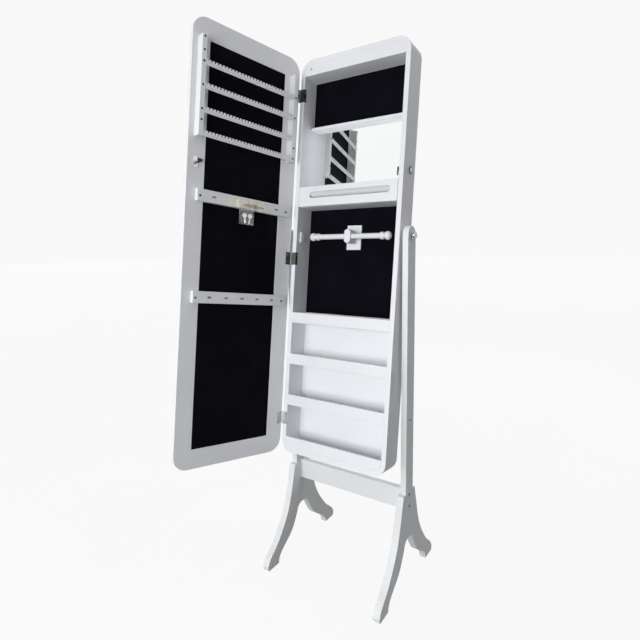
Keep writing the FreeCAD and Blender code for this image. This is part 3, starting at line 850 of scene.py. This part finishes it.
# ---------------------------------------------------------------- keys, pouch and tape
def keys():
    """Two flat keys with round bows, shoulders and cut blades."""
    lo, hi = span("keys", DOOR)
    thick = 1.4 * MM
    shoulder, blade_end, tip, edge, pitch = -3.4, -17.0, -18.4, 2.5, 3.1      # in millimetres
    bow = [(7.3 * math.sin(t), 4.0 + 6.6 * math.cos(t))
           for t in (math.radians(a) for a in range(-152, 153, 16))]
    plain_edge = [(-1.2, tip), (-2.4, blade_end), (-2.4, shoulder)]
    bm = bmesh.new()
    for u, lean, cuts in ((0.0, 8.0, (0.9, 0.3, 1.0, 0.5)), (17.0, -6.0, (0.4, 1.0, 0.5, 0.9))):
        teeth = [(0.6, tip)]
        for i, cut in enumerate(cuts):
            base = blade_end + i * pitch
            teeth += [(edge - cut, base), (edge - cut, base + 0.8), (edge, base + 2.0)]
        turn = Matrix.Rotation(math.radians(lean), 2)
        centre = Vector((lo.x + 8.5 * MM + u * MM, hi.z - 11.0 * MM))
        ring = []
        for a, b in bow + [(edge, shoulder)] + teeth[::-1] + plain_edge:
            p = turn @ Vector((a * MM, b * MM)) + centre
            ring.append(bm.verts.new((p.x, lo.y, p.y)))
        for vertex in extruded(bm, [bm.faces.new(ring)]):
            vertex.co.y += thick
        hub = turn @ Vector((0.0, 7.0 * MM)) + centre
        lathe(bm, [(0.0, 2.2 * MM), (0.25 * MM, 2.6 * MM), (0.35 * MM, 1.8 * MM),
                   (0.05 * MM, 1.6 * MM)],
              (hub.x, lo.y + thick - 0.05 * MM, hub.y), (0, 1, 0), 24)
        for across in (-0.7, 0.9):
            p = turn @ Vector((across * MM, -10.0 * MM)) + centre
            lathe(bm, [(-5.6 * MM, 0.0), (-5.4 * MM, 0.28 * MM), (5.4 * MM, 0.28 * MM),
                       (5.6 * MM, 0.0)],
                  (p.x, lo.y + thick, p.y), (turn @ Vector((0, 1))).to_3d().xzy, 10)
    piece = place_piece("keys_cut", mesh_of(bm, "keys", DOOR), KEY_METAL, "door", ("keys",),
                        smooth=False)
    bevelled(piece, 0.18 * MM, **SMALL)


def key_pouch():
    """Clear film bag, open above, crumpled round the keys."""
    lo, hi = span("key_bag", DOOR)
    rng = random.Random(11)
    shift = rng.random() * 10
    bm = bmesh.new()
    across, up = 34, 40
    rows = []
    middle_v = (lo.y + hi.y) / 2
    for k in range(up + 1):
        w = lo.z + (hi.z - lo.z) * k / up
        row = []
        for side in (-1, 1):
            for i in range(across + 1):
                if side > 0 and i in (0, across):
                    continue
                x = i / across if side < 0 else 1 - i / across
                u = lo.x + (hi.x - lo.x) * x
                bulge = math.sin(math.pi * x) ** 0.5 * min(1.0, 0.25 + k / up * 3)
                spot = Vector((u * 160 + shift, side * 3.0, w * 110))
                fold = noise.noise(spot) + 0.6 * noise.noise(spot * 2.3)
                reach = (hi.y - lo.y) * 0.5 * bulge
                v = middle_v + side * (reach - 0.25 * MM * (1 + fold)) + 0.12 * MM * fold
                v = min(max(v, lo.y), hi.y - 0.05 * MM)
                pinch = 1.6 * MM * noise.noise(Vector((w * 90, x * 2.0, shift))) * (x - 0.5)
                row.append(bm.verts.new((u + pinch, v, w)))
        rows.append(row + [row[0]])
    grid_faces(bm, rows)
    bottom = rows[0][:-1]       # out along the front, back along the rear: faces close the gap
    for i in range(1, across):
        j = len(bottom) - i
        k = (j + 1) % len(bottom)
        if i == 1:
            bm.faces.new((bottom[0], bottom[1], bottom[j]))
        else:
            bm.faces.new((bottom[i - 1], bottom[i], bottom[j], bottom[k]))
    bm.faces.new((bottom[across - 1], bottom[across], bottom[across + 1]))
    piece = place_piece("key_bag_film", mesh_of(bm, "key_bag", DOOR), FILM, "door",
                        ("key_bag",))


def tape_strip(name, u0, u1, w0, w1, level, over, material, seed, nodes=(), wear_and_shade=0.0):
    """Strip of tape with torn ends that follows the bar and the pouch under it.

    level is its height over the bar, over how much it climbs onto the pouch, and worn how far
    it narrows towards its ends, 0 to 1.
    """
    bar_v = span("necklace_bar_upper", DOOR)[1].y
    pouch_lo, pouch_hi = span("key_bag", DOOR)
    bm = bmesh.new()
    rows = []
    across, along, ramp = 8, 60, 12 * MM        # grid cells; length of the climb
    for k in range(along + 1):
        x = k / along
        row = []
        for i in range(across + 1):
            t = i / across
            tear = 1.4 * MM * noise.noise(Vector((t * 6, seed, x * 3)))
            u = u0 + (u1 - u0) * x + tear * (1 if x < 0.02 or x > 0.98 else 0)
            narrow = 1.0 - wear_and_shade * (1.0 - math.sin(math.pi * min(max(x, 0.02), 0.98)) ** 0.5)
            w = ((w0 + w1) / 2 + (w1 - w0) * (t - 0.5) * narrow
                 + 0.5 * MM * noise.noise(Vector((u * 70, seed, 1.0))))
            rise = max(0.0, min(1.0, (u - pouch_lo.x + ramp) / ramp,
                                (pouch_hi.x + ramp - u) / ramp))
            rise = rise * rise * (3 - 2 * rise) * over
            wrinkle = 0.10 * MM * noise.noise(Vector((u * 240, w * 120, seed)))
            row.append(bm.verts.new((u, bar_v + level + rise + wrinkle, w)))
        rows.append(row)
    grid_faces(bm, rows)
    piece = place_piece(name, mesh_of(bm, name, DOOR), material, "door", nodes)
    solid = piece.modifiers.new("thickness", "SOLIDIFY")
    solid.thickness = 0.12 * MM
    solid.offset = 0.0


def tape():
    """Pale paper tape on the bar and the pouch, with a narrower yellowed strip on it."""
    lo, hi = span("key_tape", DOOR)
    over = hi.y - lo.y - 0.35 * MM
    tape_strip("key_tape_paper", lo.x - 15 * MM, hi.x + 30 * MM, lo.z - 1 * MM, hi.z + 5 * MM,
               0.04 * MM, over - 0.1 * MM, PAPER, 8.0)
    tape_strip("key_tape_strip", lo.x - 6 * MM, hi.x - 14 * MM, lo.z + 4.2 * MM,
               hi.z - 4.2 * MM, 0.22 * MM, over, TAPE, 3.0, ("key_tape",), wear_and_shade=0.9)


keys()
key_pouch()
tape()


# ---------------------------------------------------------------- studio
def aim(thing, target, roll=0.0):
    """Point a camera or light at a spot, with a roll about its own axis in degrees."""
    look = (Vector(target) - thing.location).to_track_quat("-Z", "Y")
    thing.rotation_mode = "QUATERNION"
    thing.rotation_quaternion = look @ Quaternion((0, 0, 1), math.radians(roll))


def camera():
    """View from the front right, at about the height of the tilt axis."""
    data = bpy.data.cameras.new("camera")
    data.sensor_width = 36.0
    data.lens = 26.98
    data.shift_x, data.shift_y = 0.0032, -0.01455
    data.clip_end = 100.0
    cam = add_object("camera", data)
    cam.location = (0.7586, -1.0976, 1.0189)
    aim(cam, (-0.0730, 0.1325, 0.8061), roll=-0.97)
    bpy.context.scene.camera = cam


def softbox(name, place, target, size, power):
    """Rectangular lamp that faces a spot."""
    data = bpy.data.lights.new(name, "AREA")
    data.shape = "RECTANGLE"
    data.size, data.size_y = size
    data.energy = power
    light = add_object(name, data)
    light.location = place
    aim(light, target)


def studio_floor():
    """Large pale floor that glows a little, so that it runs into the backdrop."""
    bm = bmesh.new()
    bmesh.ops.create_grid(bm, x_segments=8, y_segments=8, size=30.0)
    mesh = bpy.data.meshes.new("floor")
    bm.to_mesh(mesh)
    bm.free()
    floor = add_object("studio_floor", mesh)
    floor.location.z = -0.5 * MM
    n = Nodes("pale_floor")
    n.set(Roughness=0.9, Specular_IOR_Level=0.1, Emission_Color=(1.0, 1.0, 1.0, 1.0),
          Emission_Strength=0.895)
    n.colour(n.ramp(n.noise(2.0, 3.0),
                    [(0.3, (0.055, 0.055, 0.057)), (0.7, (0.062, 0.062, 0.063))]))
    mesh.materials.append(n.material)
    floor.visible_diffuse = False


def studio_world():
    """White backdrop; the light that it throws comes mostly from above, the left and the front."""
    even_part, brightest_side = 0.285, (-0.22, -0.12, 0.25)
    world = bpy.data.worlds.new("studio")
    bpy.context.scene.world = world
    world.use_nodes = True
    nodes, link = world.node_tree.nodes, world.node_tree.links.new
    backdrop = nodes["Background"]
    backdrop.inputs["Color"].default_value = (1.0, 1.0, 1.0, 1.0)
    backdrop.inputs["Strength"].default_value = 0.945
    where = nodes.new("ShaderNodeTexCoord")
    towards = nodes.new("ShaderNodeVectorMath")
    towards.operation = "DOT_PRODUCT"
    towards.inputs[1].default_value = brightest_side
    link(where.outputs["Generated"], towards.inputs[0])
    level = nodes.new("ShaderNodeMath")
    level.operation = "ADD"
    level.inputs[1].default_value = even_part
    link(towards.outputs["Value"], level.inputs[0])
    room = nodes.new("ShaderNodeBackground")
    room.inputs["Color"].default_value = (0.98, 0.99, 1.0, 1.0)
    link(level.outputs[0], room.inputs["Strength"])
    path = nodes.new("ShaderNodeLightPath")
    mix = nodes.new("ShaderNodeMixShader")
    link(path.outputs["Is Diffuse Ray"], mix.inputs[0])
    link(backdrop.outputs[0], mix.inputs[1])
    link(room.outputs[0], mix.inputs[2])
    link(mix.outputs[0], nodes["World Output"].inputs["Surface"])


camera()
studio_floor()
studio_world()
softbox("front_softbox", (0.05, -2.7, 1.05), (0.0, 0.1, 0.95), (2.2, 1.3), 60.0)
softbox("right_softbox", (1.7, 0.6, 2.4), (0.2, 0.1, 1.0), (1.3, 1.3), 5.5)
softbox("back_softbox", (-0.4, 3.2, 2.0), (0.0, 0.1, 0.8), (2.2, 1.6), 16.0)
bpy.context.scene.view_settings.view_transform = "Standard"
